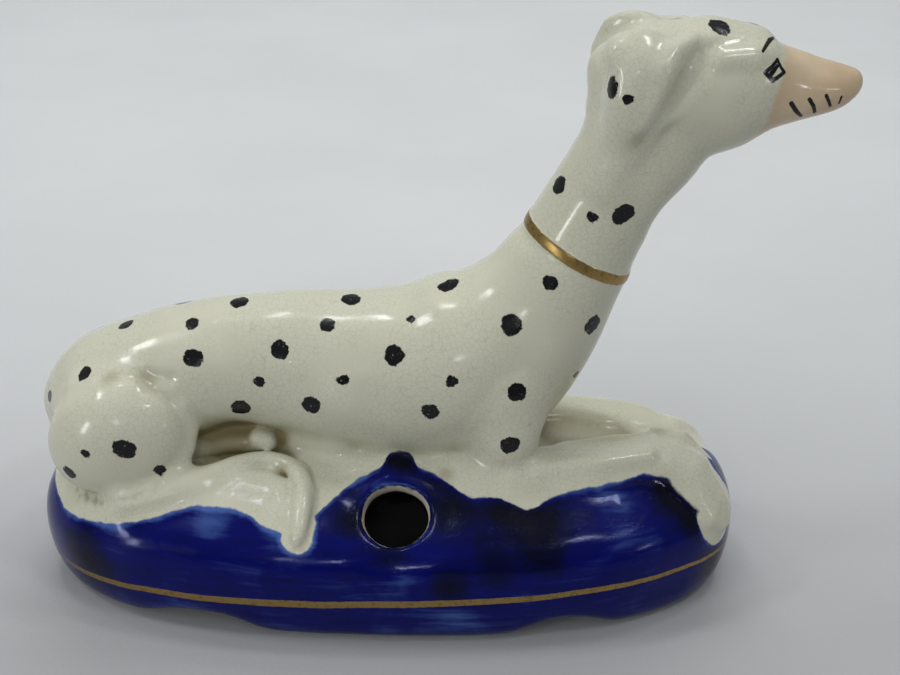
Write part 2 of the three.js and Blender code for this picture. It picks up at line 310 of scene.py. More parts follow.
add_plinth()
for name in ("right_hind_foot", "left_hind_foot"):
    add_piece(name, 0.7, 1.6)
add_piece("tail", 0.6, 1.2)


# ---- modelling tools

RIGHT, LEFT = -1, 1                 # sides of the figure, as signs of y
BOTH = (RIGHT, LEFT)
CORNERS = [(i, j, k) for i in (0, 1) for j in (0, 1) for k in (0, 1)]
EDGES = [(a, b) for a in range(8) for b in range(a + 1, 8)
         if sum(abs(p - q) for p, q in zip(CORNERS[a], CORNERS[b])) == 1]


def corner_view(array, corner):
    return array[tuple(slice(c, n - 1 + c) for c, n in zip(corner, array.shape))]


def sampled(field, places):
    """Trilinear samples of a grid field at places in grid units."""
    base = np.clip(np.floor(places).astype(int), 0, np.array(field.shape) - 2)
    part = (places - base).astype(np.float32)
    total = np.zeros(len(places), np.float32)
    for corner in CORNERS:
        weight = np.ones(len(places), np.float32)
        for a in range(3):
            weight *= part[:, a] if corner[a] else 1 - part[:, a]
        total += weight * field[tuple((base + corner).T)]
    return total


def gradient(field, places, reach=0.7):
    out = np.empty((len(places), 3), np.float32)
    for a in range(3):
        step = np.zeros(3)
        step[a] = reach
        out[:, a] = (sampled(field, places + step) - sampled(field, places - step)) / (2 * reach)
    return out


def on_skin(points, rounds=2, limit=0.5, least_slope=1e-4):
    """Moves points in grid units onto the skin as it is so far. Also gives the slope there."""
    for _ in range(rounds):
        slope = gradient(phi, points)
        steepness = np.maximum((slope ** 2).sum(1), least_slope)
        move = sampled(phi, points)[:, None] * slope / steepness[:, None]
        points = points - np.clip(move, -limit, limit)
    return points, slope


def settled(points):
    """Moves places in mm onto the skin as it is so far. Also gives the outward direction."""
    spots, slope = on_skin(points / STEP - grid_low, 6, 1 / STEP, 0.2 * STEP ** 2)
    return (spots + grid_low) * STEP, slope / np.linalg.norm(slope, axis=1)[:, None]


def brush_window(points, reach):
    """The part of the grid within reach of some points."""
    return grid_part(points.min(0) - reach, points.max(0) + reach)


def on_side(path, side):
    """A path given in mm from the plinth's middle on the figure's right side, on either side."""
    points = np.array(path, float)
    points[:, 0] += MID_X
    points[:, 1] *= -side
    return points


def stroke(where, points, radii):
    """Distance from a rope of clay through some points, with its radius at each."""
    x, y, z = coordinates(where)
    best = None
    for a, b, ra, rb in zip(points[:-1], points[1:], radii[:-1], radii[1:]):
        run = b - a
        t = ((x - a[0]) * run[0] + (y - a[1]) * run[1] + (z - a[2]) * run[2]) / (run @ run)
        t = np.clip(t, 0, 1)
        dx, dy, dz = x - a[0] - t * run[0], y - a[1] - t * run[1], z - a[2] - t * run[2]
        distance = np.sqrt(dx * dx + dy * dy + dz * dz) - (ra + (rb - ra) * t)
        best = distance if best is None else np.minimum(best, distance)
    return best.astype(np.float32)


def clay(path, radii, fillet, sides=(RIGHT,), sign=1):
    """Lays a rope of clay on the figure and smooths it in, or takes it away if the sign is -1."""
    for side in sides:
        points = on_side(path, side)
        where = brush_window(points, max(radii) + fillet + 1)
        rope = stroke(where, points, radii)
        phi[where] = sign * smooth_min(sign * phi[where], rope, fillet)


def pressed(path, radii, fillet, sides=(RIGHT,)):
    """Presses a groove into the figure."""
    clay(path, radii, fillet, sides, sign=-1)


def eased(path, reach, sigma, sides=(RIGHT,)):
    """Rubs the clay smooth along a path."""
    for side in sides:
        points = on_side(path, side)
        where = brush_window(points, reach + 3 * sigma)
        distance = stroke(where, points, [0] * len(points))
        weight = np.clip(1 - distance / reach, 0, 1)
        weight = weight * weight * (3 - 2 * weight)
        phi[where] += weight * (blurred(phi[where], sigma) - phi[where])


# ---- modelled details

def model_head():
    """A domed brow, a straight muzzle, and ears that melt into the neck behind."""
    clay([(52, 0, 108.2), (58.5, 0, 108.9), (64, 0, 107.9), (67, 0, 106)], [5.0, 5.6, 5.4, 4.8], 4.0)
    pressed([(74.5, -7, 113.2), (74.5, 0, 113.5), (74.5, 7, 113.2)], [4.5, 4.7, 4.5], 1.5)
    clay([(72, 0, 107.5), (75.5, 0, 106.6), (80.7, 0, 104.9), (84.4, 0, 103.6)],
         [2.0, 2.0, 2.0, 2.1], 1.5)
    pressed([(57.2, -8, 75.6), (57.2, 0, 75.6), (57.2, 8, 75.6)], [5.2, 5.4, 5.2], 4.0)
    clay([(46, -9, 107), (43, -9.5, 102), (42.5, -9, 94), (41, -8, 86)], [3.4, 3.6, 3.2, 1.6], 5.0)
    eased([(40, -11.5, 105), (39.5, -12, 98), (42, -13, 92.5), (47, -12.5, 94)], 6.5, 2.2)
    clay([(47, -8.5, 109.5), (42, -9.5, 104), (41, -9.5, 98)], [2.6, 3.8, 3.0], 4.0, (LEFT,))
    eased([(45, -11, 108), (43, -12, 101), (43, -12, 95)], 5.5, 1.8, (LEFT,))
    clay([(43, -2, 108), (41.3, 0, 105), (41.8, 0, 100), (43.4, 0, 95), (45, 0, 91)],
         [3.6, 4.7, 4.4, 3.8, 3.0], 5.0)
    eased([(41.5, -8.5, 106), (40.5, -9.5, 100), (41, -9.5, 94)], 6, 2.4, BOTH)
    eased([(46, 6, 111), (44.5, 9, 109), (42.5, 9.5, 104)], 4.5, 1.5)
    clay([(57, -6, 111.9), (54.4, -6.6, 112.4), (51, -9.6, 111.0), (49.2, -11.8, 108.2),
          (48, -12.9, 103.6), (46.4, -13.1, 98.4)], [0.8, 1.1, 1.3, 1.3, 1.2, 0.8], 2.4, BOTH)
    pressed([(56, -10.8, 109), (54.2, -12.2, 106.6), (52.2, -13.8, 103.4), (50.2, -14.7, 100),
             (47.2, -14.6, 96)], [0.5, 1.3, 1.4, 1.1, 0.7], 3.0, BOTH)
    clay([(59.5, -7.6, 109), (65, -6.4, 109.2), (67.8, -4.6, 109.6)], [1.6, 1.7, 1.2], 2.2, BOTH)
    eased([(58, -9, 97), (50, -9, 92)], 5, 1.5, BOTH)


def model_legs():
    """Forelegs that grow out of the clay below, flat on top, and flattened paws."""
    clay([(28, -14.5, 25), (40, -13.6, 25.4), (51, -12.2, 25.2)], [4.5, 4.3, 3.6], 4.0, BOTH)
    clay([(31, -16, 20), (44, -15, 20), (54, -13.5, 18.5)], [5.5, 5.5, 4.5], 5.0, BOTH)
    clay([(30, -16.4, 29.6), (42, -14.6, 30.6), (51.5, -12.4, 31.2)], [1.4, 1.5, 1.4], 2.2)
    clay([(36, -8, 28.6), (52, -5.5, 29.6)], [1.8, 2.2], 4.0)
    clay([(54, -2.4, 29.6), (59.5, -2.2, 28.6), (64.2, -3.6, 24.4), (67, -5.6, 20.2),
          (67.6, -7.8, 17.4)], [2.0, 2.1, 2.0, 1.8, 1.5], 2.6)
    clay([(55, -12, 28.2), (60, -14, 23), (63.6, -15.2, 19)], [1.6, 1.9, 1.7], 2.4)
    clay([(57, -7.5, 28.2), (62, -7.5, 26), (66, -10, 20)], [2.4, 2.6, 2.2], 3.2)
    clay([(60.5, -10.5, 26), (64.8, -12, 20.6), (66, -12.6, 17.6)], [2.2, 2.2, 1.8], 3.0)
    eased([(51, -8, 30), (57, -9, 28)], 6, 1.4, BOTH)
    eased([(62, -9, 25), (66.5, -10.5, 19.5)], 4, 1.2, BOTH)


def model_deck():
    """Slips and mounds on the plinth's top, and clay that closes the joint under the belly."""
    clay([(-41, -17, 21.5), (-29, -19.5, 21.5), (-20, -22.5, 20.5)], [4.5, 4.4, 3.6], 5.0, BOTH)
    clay([(-16, -10.5, 27.4), (-4, -11.5, 28.4), (10, -12.4, 28.8), (22, -13, 28.6)],
         [1.4, 2.4, 2.6, 2.6], 3.0, BOTH)
    clay([(2.6, -18, 24.4), (2.6, -14.8, 26.6)], [2.8, 2.4], 4.0)
    clay([(-50, -19.5, 21.5), (-37, -17.5, 23.8)], [3.6, 3.6], 4.0, BOTH)
    eased([(-54, -22, 23), (-46, -21, 25), (-37, -17.5, 27)], 5.0, 1.6)
    clay([(-30, -13, 27.6), (-23.5, -12, 27.9), (-17, -14.5, 27.5), (-15, -20.5, 26.2),
          (-15.6, -29.2, 21.6)], [1.5, 1.7, 1.7, 1.7, 1.2], 1.2)
    clay([(-34, -17.4, 24.4), (-27, -18, 25), (-20.8, -19.6, 24.6), (-19.4, -24.5, 22.6)],
         [2.6, 2.8, 2.6, 2.0], 2.0)
    clay([(-32, -16.8, 26), (-27, -16.2, 26.4), (-22.7, -16.2, 26.4), (-20.2, -18.8, 25.6),
          (-19.4, -22.5, 24.2)], [1.8, 1.8, 1.8, 1.7, 1.5], 1.8)
    clay([(14, -15.5, 26), (24, -17, 24.5)], [3.0, 3.4], 4.0, BOTH)
    clay([(-40, -4, 29.5), (-21, -4.5, 30), (-17, -6.8, 30), (-10, -8.5, 30)],
         [3.6, 3.2, 3.2, 3.2], 3.0, BOTH)
    clay([(-25.6, -8.6, 31), (-23.6, -8.8, 30.6)], [2.3, 2.1], 1.0, BOTH)
    across = np.array([1.0, 0, 0])
    upward = np.cross(bore_outward, across)
    hole = bore_point - MID_X * across
    ring = [hole + LIP_RADIUS * (math.cos(t) * across + math.sin(t) * upward)
            for t in np.linspace(0, 2 * math.pi, 25)]
    eased(ring, 4.2, 1.8)


def model_haunches():
    """A soft fold over each haunch and the ragged joint where it was luted to the plinth."""
    clay([(-62, -9, 38.5), (-59.5, -10, 41.5), (-55, -11.2, 43.6), (-49, -12, 44)],
         [1.8, 2.4, 2.2, 1.2], 5.0, BOTH)
    clay([(-39.4, -12.6, 40), (-38, -13, 36), (-38.4, -14.6, 32), (-40.8, -17.4, 28.6)],
         [0.7, 0.9, 1.0, 1.0], 3.0, BOTH)
    eased([(-62, -11, 39), (-57, -13.5, 44)], 4.5, 1.6, BOTH)
    pressed([(-55, -13, 47.2), (-48, -13.4, 47.8), (-41.5, -12.8, 46.4)], [0.3, 0.7, 0.4], 2.0, BOTH)
    clay([(-64.6, 0, 34), (-64.2, 0, 31), (-64.2, 0, 28)], [4, 4, 4], 3.0)
    random = np.random.default_rng(4)
    seam = np.array([(-61.5, -15, 21.8), (-57, -18.5, 22), (-53, -20.2, 22.6), (-49, -21.6, 23.8),
                     (-45, -22, 25.4), (-42, -20.5, 27)])
    for side in BOTH:
        t = np.linspace(0, len(seam) - 1.001, 30)
        start = t.astype(int)
        share = (t - start)[:, None]
        line = seam[start] * (1 - share) + seam[start + 1] * share
        line = on_side(line + random.normal(0, 0.35, line.shape), side)
        line, outward = settled(line)
        for spot, out in zip(line, outward):
            radius = random.uniform(0.4, 0.75)
            path = np.array([spot + out * radius * 0.45,
                             spot + out * radius * 0.5 + [0, side * 0.8, -0.5]])
            where = brush_window(path, 3)
            dent = stroke(where, path, [radius, radius * 0.7])
            phi[where] = smooth_max(phi[where], -dent, 0.5)


def model_collar():
    """A low flat band round the neck."""
    half_width, relief, reach = 1.2, 0.22, 15
    where = brush_window(collar_centre[None, :], reach)
    along, apart = along_and_apart(where, collar_centre, neck_direction)
    band = smooth_max(phi[where] - relief, np.abs(along) - half_width, 0.5)
    band = np.maximum(band, np.sqrt(apart) - reach + 1).astype(np.float32)
    claim("collar_band", where, band)
    phi[where] = smooth_min(phi[where], band, 0.3)


def handmade():
    """Slow waves of a fraction of a millimetre, as hands and kiln leave them."""
    x, y, z = coordinates((slice(None),) * 3)
    fade = np.clip(z / 6, 0, 1)
    random = np.random.default_rng(11)
    for length in (38, 29, 22, 17, 13, 9):
        direction = random.normal(size=3)
        direction *= 2 * math.pi / length / np.linalg.norm(direction)
        phase = random.uniform(0, 2 * math.pi)
        wave = np.sin(x * direction[0] + y * direction[1] + z * direction[2] + phase)
        phi[:] += (0.0035 * length * fade * wave).astype(np.float32)


model_head()
model_legs()
model_deck()
model_haunches()
model_collar()
handmade()
where = window(*COBALT_PIECES)
phi[where] = smooth_max(phi[where], -bore_field(where), 1.4)   # slip smoothed over it is cut out


# ---- skin to pieces

def relaxed(points, quads):
    """Evens out the skin's points among their neighbours and puts them back on the surface."""
    beside = np.stack([np.roll(quads, 1, axis=1), np.roll(quads, -1, axis=1)])
    corner = quads.ravel()
    count = 2 * np.bincount(corner, minlength=len(points))
    used = count > 0
    for _ in range(2):
        average = np.empty_like(points)
        for a in range(3):
            weights = points[beside, a].sum(0).ravel()
            average[:, a] = np.bincount(corner, weights, len(points)) / np.maximum(count, 1)
        points[used], _ = on_skin((points[used] + average[used]) / 2)
    return points


def skin_points(labels):
    """One point in each cell where labels meet, on the skin where the cell touches air."""
    views = [corner_view(labels, c) for c in CORNERS]
    active = np.zeros(views[0].shape, bool)
    for view in views[1:]:
        active |= view != views[0]
    cells = np.argwhere(active)
    number = np.full(active.shape, -1, np.int32)
    number[active] = np.arange(len(cells))
    tags = [view[active] for view in views]
    values = [corner_view(phi, c)[active] for c in CORNERS]
    sums = np.zeros((2, len(cells), 3), np.float32)
    counts = np.zeros((2, len(cells)), np.float32)
    for a, b in EDGES:
        differs = tags[a] != tags[b]
        in_air = differs & ((tags[a] == 0) | (tags[b] == 0))
        gap = values[a] - values[b]
        share = np.where(in_air, values[a] / np.where(np.abs(gap) < 1e-9, 1, gap), 0.5)
        start, end = np.array(CORNERS[a]), np.array(CORNERS[b])
        crossing = start + share[:, None] * (end - start)
        for kind, chosen in enumerate((in_air, differs)):
            sums[kind][chosen] += crossing[chosen]
            counts[kind][chosen] += 1
    outer = counts[0] > 0
    inside = sums[1] / np.maximum(counts[1], 1)[:, None]
    surface = sums[0] / np.maximum(counts[0], 1)[:, None]
    points = cells + np.where(outer[:, None], surface, inside)
    points[outer], _ = on_skin(points[outer])
    slope = gradient(phi, points[~outer])
    value = sampled(phi, points[~outer])
    sink = np.maximum(value + SEAM_DEPTH, 0) / np.maximum((slope ** 2).sum(1), 0.05)
    points[~outer] -= np.clip(sink, 0, 2)[:, None] * slope
    return number, points, outer


def quads_of(labels, number, label):
    """The faces all round one label. A face inside a joint starts from a corner below the
    skin, so that it is split from there and doesn't stand out of a hollow."""
    faces = []
    for axis in range(3):
        first, second = (axis + 1) % 3, (axis + 2) % 3
        low = [slice(1, -1)] * 3
        high = [slice(1, -1)] * 3
        low[axis] = slice(0, -1)
        high[axis] = slice(1, None)
        below, above = labels[tuple(low)], labels[tuple(high)]
        for mine, other, flip in ((below, above, False), (above, below, True)):
            at = np.argwhere((mine == label) & (other != label))
            if not len(at):
                continue
            ring = []
            for beyond in ((0, 0), (1, 0), (1, 1), (0, 1)):
                step = np.zeros(3, int)
                step[[first, second]] = beyond
                ring.append(number[tuple((at + step).T)])
            ring = np.stack(ring, 1)
            faces.append(ring[:, ::-1] if flip else ring)
    faces = np.concatenate(faces)
    first = np.argmin(outer[faces], axis=1)[:, None]
    return np.take_along_axis(faces, (first + np.arange(4)) % 4, axis=1)


def make_mesh(name, points, quads, normals):
    mesh = bpy.data.meshes.new(name)
    mesh.vertices.add(len(points))
    mesh.vertices.foreach_set("co", (points * MM).astype(np.float32).ravel())
    mesh.loops.add(quads.size)
    mesh.loops.foreach_set("vertex_index", quads.ravel().astype(np.int32))
    mesh.polygons.add(len(quads))
    mesh.polygons.foreach_set("loop_start", np.arange(0, quads.size, 4, dtype=np.int32))
    mesh.update(calc_edges=True)
    mesh.validate()
    mesh.polygons.foreach_set("use_smooth", np.ones(len(mesh.polygons), bool))
    mesh.normals_split_custom_set_from_vertices(normals)
    return mesh


labels = np.where(phi < 0, owner + 1, 0).astype(np.int8)
number, grid_points, outer = skin_points(labels)
grid_points = relaxed(grid_points, quads_of(labels, number, 0))
points_mm = (grid_points + grid_low) * STEP
slope = gradient(phi, grid_points)
normals = slope / np.maximum(np.linalg.norm(slope, axis=1), 1e-6)[:, None]


# ---- paint, as distances in mm

place = points_mm - np.array([MID_X, 0, 0])   # every skin point, from the plinth's middle
near = place[:, 1] < 0
aside = np.abs(place[:, 1])


def distance_to(path):
    """Distance of every skin point from a line through some points."""
    best = np.full(len(place), 1e3)
    points = np.array(path, float)
    for a, b in zip(points[:-1], points[1:]):
        run = b - a
        t = np.clip((place - a) @ run / (run @ run), 0, 1)
        best = np.minimum(best, np.linalg.norm(place - a - t[:, None] * run, axis=1))
    return best


def curve_through(points, at):
    """A smooth curve through a few points, as a function of its first coordinate."""
    x, y = np.array(points, float).T
    slope = np.gradient(y, x)
    i = np.clip(np.searchsorted(x, at) - 1, 0, len(x) - 2)
    span = x[i + 1] - x[i]
    t = np.clip((at - x[i]) / span, 0, 1)
    return ((1 + 2 * t) * (1 - t) ** 2 * y[i] + t * (1 - t) ** 2 * span * slope[i]
            + t * t * (3 - 2 * t) * y[i + 1] + t * t * (t - 1) * span * slope[i + 1])


# The blue is brushed on up to a wavy line. Its height is measured square to a line of sight
# tilted by SLANT, so that it holds on the steep sides and on the sloping deck alike.
SLANT = math.radians(26)
NEAR_EDGE = [
    (-76, 22), (-70, 19), (-66, 12.9), (-63, 9.8), (-58.5, 8.4), (-52, 7.9), (-45, 9.2), (-37, 11.6),
    (-32, 11.9), (-26, 10.8), (-22, 8.4), (-18, 7.6), (-14.5, 9), (-11, 12.3), (-7.5, 15.4),
    (-3, 18.5), (-0.8, 19.6), (0.8, 21.9), (2, 22.5), (3.8, 22.5), (5, 21.9), (6.6, 19.6),
    (9, 18.8), (12, 17.1), (15, 15), (22.5, 14.1), (28.6, 12.5), (31.2, 13.9), (42, 16.9),
    (50, 19), (54, 21), (58, 25), (76, 26),
]
FAR_EDGE = [
    (-76, 22), (-70, 19), (-65, 11), (-54, 8), (-42, 10.5), (-31, 12), (-18, 9.5), (-6, 13.5),
    (6, 14.5), (17, 12.5), (28, 14), (40, 17), (50, 19.5), (58, 25), (76, 26),
]
height = math.cos(SLANT) * place[:, 2] - math.sin(SLANT) * aside
side_share = np.clip(0.5 - place[:, 1] / 6, 0, 1)
edge = side_share * curve_through(NEAR_EDGE, place[:, 0])
edge += (1 - side_share) * curve_through(FAR_EDGE, place[:, 0])
white = height - edge
KEPT_WHITE = [
    (6.0, [(50, -9.5, 30.5), (57, -9, 29), (62, -11, 24.5), (65.5, -11.8, 20.5), (66, -13.8, 18.6)]),
    (5.0, [(56, 0, 30), (63, 0, 27)]),
    (5.0, [(50, 9.5, 29), (57, 9, 27.5), (62.5, 9.5, 22.6), (65.5, 10.5, 18.6)]),
    (2.9, [(-30, -13, 28.5), (-23.5, -12, 28.7), (-15.5, -16, 28), (-15.5, -20.5, 27),
           (-15.8, -30.2, 22)]),
]
for reach, path in KEPT_WHITE:
    white = np.maximum(white, reach - distance_to(path))
paint = {"blue": -white}

# Pooled, almost black cobalt, and lighter patches: thin washes where the brush ran dry, and painted
# sheen on the deck's bulges: place and reach
POOLS = [
    (-5, -26, 24, 5), (2, -30, 19, 6), (12, -24, 25, 7), (23, -24, 24, 6), (31, -26, 23, 6),
    (31, -30, 19, 4), (56, -15, 25, 5), (60, -18, 20, 4), (-58, -22, 12, 7), (66, -15, 8, 6),
    (3, -15, 30, 3.5), (22, -31, 18, 5), (13, -33, 14, 4), (28, -28, 21, 5), (57, -16, 23, 4),
]
# painted sheen: the patches at x -33, 44 and 45 sit where the deck's bulges catch the light; the rest
# are thin glaze
WASHES_AND_SHEEN = [
    (-33, -24.5, 23.5, 6), (3, -32, 16, 6), (24, -30, 20, 4), (-20, -29, 22, 4), (44, -19, 25, 6),
    (45, -23, 22, 5), (-52, -25, 19, 5), (14, -34, 7, 8),
]


def blobs(places):
    total = np.zeros(len(place))
    for x, y, z, reach in places:
        for side in BOTH:
            shift = 0 if side == RIGHT else 9
            gap = ((place - np.array([x + shift, -side * y, z])) ** 2).sum(1)
            total += np.exp(-gap / (0.6 * reach ** 2))
    return np.clip(total, 0, 1)


# Brown blotches in the recesses: real staining where the glaze ran heavy, and painted shade in the
# hollow under the belly
STAIN_AND_SHADE_BLOBS = [
    (-34, -8, 32, 7), (-29, -8, 31, 5), (-21, -8, 31, 3), (32, 4, 32, 8), (39, 4, 30, 6),
    (38, -1, 29, 6), (34, 3, 33, 6), (36, 0, 31, 5), (43, 3, 30, 4), (28, -17, 40, 0.9),
    (-14, -11, 28.6, 0.6), (46, 1, 29, 4), (53, 1, 30, 3), (-53, -13.5, 46.5, 3),
    (-46, -13.5, 47, 3.5), (-20, -15.5, 28, 2.6), (45.6, -13.6, 95.5, 3), (12, -17, 28, 3),
]
paint["pool"] = blobs(POOLS)
paint["wash_and_sheen"] = blobs(WASHES_AND_SHEEN)
paint["stain_and_shade_blobs"] = blobs(STAIN_AND_SHADE_BLOBS)
paint["peach"] = np.minimum(place[:, 0] - 0.25 * place[:, 2] - 44.2, place[:, 2] - 80)

# Gilding: one thin line round the plinth and the collar
line_height = np.interp(place[:, 0], [-76, -46, 0, 45, 60, 76], [6.4, 8.5, 10.1, 11.7, 11.6, 9.6])
line_height = np.where(near, line_height, line_height + 0.5 * np.sin(place[:, 0] / 14))
line_half = np.interp(place[:, 0], [-76, -52, -20, 20, 45, 76], [0.4, 0.68, 0.85, 0.68, 0.6, 0.32])
line = line_half - np.abs(place[:, 2] - line_height)
along = (points_mm - collar_centre) @ neck_direction
round_neck = np.linalg.norm(points_mm - collar_centre, axis=1) < NECK_REACH
collar = np.where(round_neck, 1.05 - np.abs(along), -9)
paint["gilding"] = np.maximum(line, collar)
paint["bare"] = np.maximum(sampled(inside_depth, grid_points) - 1.2, 0.7 - place[:, 2])


def paint_hole():
    """Thin glaze on the quill hole's lip, bare clay in it, and painted shade deeper in, also on the
    plinth's bare inside.
    """
    offset = points_mm - bore_point
    out = offset @ bore_outward
    gap = np.sqrt(np.maximum((offset ** 2).sum(1) - out * out, 0)) - BORE_RADIUS
    in_bore = gap < 1.2
    upward = np.cross(bore_outward, [1.0, 0.0, 0.0])
    around = np.degrees(np.arctan2(offset @ upward, offset[:, 0])) % 360
    sector = (around // 10).astype(int)
    lip = np.full(36, -9.0)          # the lip's height in steps of ten degrees
    np.maximum.at(lip, sector[in_bore & outer], out[in_bore & outer])
    below_lip = lip[sector] - out
    facing = normals @ bore_outward
    paint["bare"] = np.maximum(paint["bare"], np.where(in_bore, (0.35 - facing) * 1.6, -9))
    at_lip = np.exp(-((facing - 0.6) / 0.16) ** 2) * in_bore * (below_lip < 4)
    paint["wash_and_sheen"] = np.maximum(paint["wash_and_sheen"], 1.5 * at_lip)
    # painted shade: dark from 4.2 mm below the hole's lip, and on the plinth's bare inside above 8 mm
    paint["inner_shade"] = np.where(in_bore, below_lip - 4.2, (place[:, 2] - 8) / 2)
    # the hole's far end: bare clay, all in painted shade
    deep = (gap < 8) & (below_lip > 5)
    paint["bare"][deep] = 1.0
    paint["inner_shade"][deep] = 3.0


paint_hole()
paint["crease"] = np.clip(-sampled(blurred(np.clip(phi, -3, 3), 1.1), grid_points) / 0.5, -1, 1)
paint["recess"] = np.clip(-sampled(blurred(np.clip(phi, -4, 4), 3.0), grid_points) / 1.6, -1, 1)

# Spots: place on the right side and width. The far side's are scattered in the same way.
SPOTS = [
    (-52, -1, 52, 2.9), (-29, -1, 57, 3.4), (-7, -2, 59, 3.4), (12, -3, 62.5, 3.4),
    (-38, -6, 55, 2.6), (-37, -11, 50, 3.2), (-58, -10, 45, 2.7), (-20, -11, 52, 3.2),
    (-11, -8, 56, 2.8),
    (5, -9, 58, 1.5), (-24, -13, 46, 1.9), (-8, -15, 48, 1.9), (2, -14, 53, 3.5), (13, -17, 49, 1.9),
    (-28, -12, 40, 3.6), (-14, -15, 42, 3.4), (9, -17, 43, 3.1), (24, -13, 59, 3.6),
    (31, -11, 67, 2.5), (39, -9, 58, 3.6), (25, -17, 47, 3.3), (37, -8, 46, 1.5), (24, -19, 36, 3.2),
    (-49, -22, 36, 3.5), (-57, -22, 35, 1.5), (-61, -20, 29, 2.7), (-43, -20, 30, 2.2),
    (-67, -7, 39, 2.2), (32, -4, 84, 3.2), (38, -10, 80, 1.8), (44, -10, 81, 3.5), (49, -3, 72, 1.5),
    (38, 6, 104, 2.4), (40, -12, 105, 3.0), (43, -13, 103.5, 1.8), (52, 2, 114, 2.4),
    (59, -3, 113, 3.4), (66, 1, 113, 1.8),
]


def skin_point(x, y, z):
    """Index of the skin point nearest to a place."""
    gap = ((place - np.array([x, y, z])) ** 2).sum(1)
    return int(np.argmin(np.where(outer, gap, 1e9)))


def scattered_spots(random):
    """Spots on the left side, as far apart as the painter set them on the right."""
    chosen = []
    taken = [place[skin_point(x, y, z)] for x, y, z, _ in SPOTS]
    clear = outer & (place[:, 1] > 3) & (paint["peach"] < -3) & (white > 3)
    clear &= paint["crease"] < 0.25
    clear &= (np.abs(along) > 3.5) | ~round_neck
    clear &= (place[:, 2] > 38) | (place[:, 0] < -38)
    for at in random.permutation(np.flatnonzero(clear))[:4000]:
        here = place[at]
        width = random.choice([1.6, 2.0, 2.8, 3.2, 3.5, 4.0])
        if min(np.linalg.norm(here - other) for other in taken) > 7.5 + width:
            taken.append(here)
            chosen.append((*here, width))
    return chosen


def paint_spots():
    random = np.random.default_rng(23)
    best = np.full(len(place), 9.0)
    for x, y, z, width in SPOTS + scattered_spots(random):
        at = skin_point(x, y, z)
        offset = place - place[at]
        lean = np.cross(normals[at], random.normal(size=3) + np.array([0, 0, 1.5]))
        lean /= np.linalg.norm(lean)
        stretch = random.uniform(1.0, 1.35)
        run = offset @ lean
        size = np.sqrt(np.maximum((offset ** 2).sum(1) - run * run * (1 - 1 / stretch ** 2), 0))
        best = np.minimum(best, size - 0.54 * width)
    return best


paint["spot"] = paint_spots()

pieces = {}
for name in PIECES:
    quads = quads_of(labels, number, PIECES.index(name) + 1)
    used, quads = np.unique(quads, return_inverse=True)
    quads = quads.reshape(-1, 4)
    mesh = make_mesh(name + "_skin", points_mm[used], quads, normals[used])
    piece = bpy.data.objects.new(name + "_skin", mesh)
    bpy.context.scene.collection.objects.link(piece)
    for layer, values in paint.items():
        attribute = mesh.attributes.new(layer, "FLOAT", "POINT")
        attribute.data.foreach_set("value", values[used].astype(np.float32))
    pieces[name] = piece
    print("piece", name, len(used), len(quads))


# ---- materials

class Tree:
    """Short words for building the nodes of a material or a world."""

    def __init__(self, owner):
        owner.use_nodes = True
        self.owner = owner
        self.nodes = owner.node_tree.nodes
        self.links = owner.node_tree.links

    def connect(self, node, inputs):
        for key, value in inputs.items():
            if isinstance(value, bpy.types.NodeSocket):
                self.links.new(value, node.inputs[key])
            else:
                node.inputs[key].default_value = value

    def make(self, kind, inputs, output=0, **settings):
        node = self.nodes.new(kind)
        for key, value in settings.items():
            setattr(node, key, value)
        self.connect(node, inputs)
        return node.outputs[output]

    def attribute(self, name):
        return self.make("ShaderNodeAttribute", {}, "Fac", attribute_name=name)

    def math(self, operation, a, b=0.0, clamp=False):
        return self.make("ShaderNodeMath", {0: a, 1: b}, operation=operation, use_clamp=clamp)

    def add(self, a, b):
        return self.math("ADD", a, b)

    def times(self, a, b):
        return self.math("MULTIPLY", a, b)

    def plus(self, value, *layers):
        """A value and some layers, each with its weight, added up."""
        for layer, weight in layers:
            value = self.add(value, self.times(layer, weight))
        return value

    def most(self, a, b):
        return self.math("MAXIMUM", a, b)

    def least(self, a, b):
        return self.math("MINIMUM", a, b)

    def inverse(self, a):
        return self.math("SUBTRACT", 1.0, a)

    def step(self, value, low, high, to_low=0.0, to_high=1.0):
        """A smooth step from one value to another."""
        return self.make("ShaderNodeMapRange", {
            "Value": value, "From Min": low, "From Max": high, "To Min": to_low, "To Max": to_high,
        }, interpolation_type="SMOOTHSTEP")

    def vector(self, operation, a, b=(0, 0, 0), output=0):
        return self.make("ShaderNodeVectorMath", {0: a, 1: b}, output, operation=operation)

    def scaled(self, vector, scale):
        inputs = {0: vector, "Scale": scale}
        return self.make("ShaderNodeVectorMath", inputs, operation="SCALE")

    def noise(self, place, size, detail=2.0, roughness=0.5, distortion=0.0):
        """Noise around 0, with features of a given size in mm."""
        value = self.make("ShaderNodeTexNoise", {
            "Vector": place, "Scale": 1 / size, "Detail": detail, "Roughness": roughness,
            "Distortion": distortion,
        }, "Fac", noise_dimensions="3D")
        return self.add(value, -0.5)

    def mix(self, share, a, b):
        def colour(value):
            return value if isinstance(value, bpy.types.NodeSocket) else (*value, 1)
        inputs = {0: share, 6: colour(a), 7: colour(b)}
        return self.make("ShaderNodeMix", inputs, 2, data_type="RGBA")


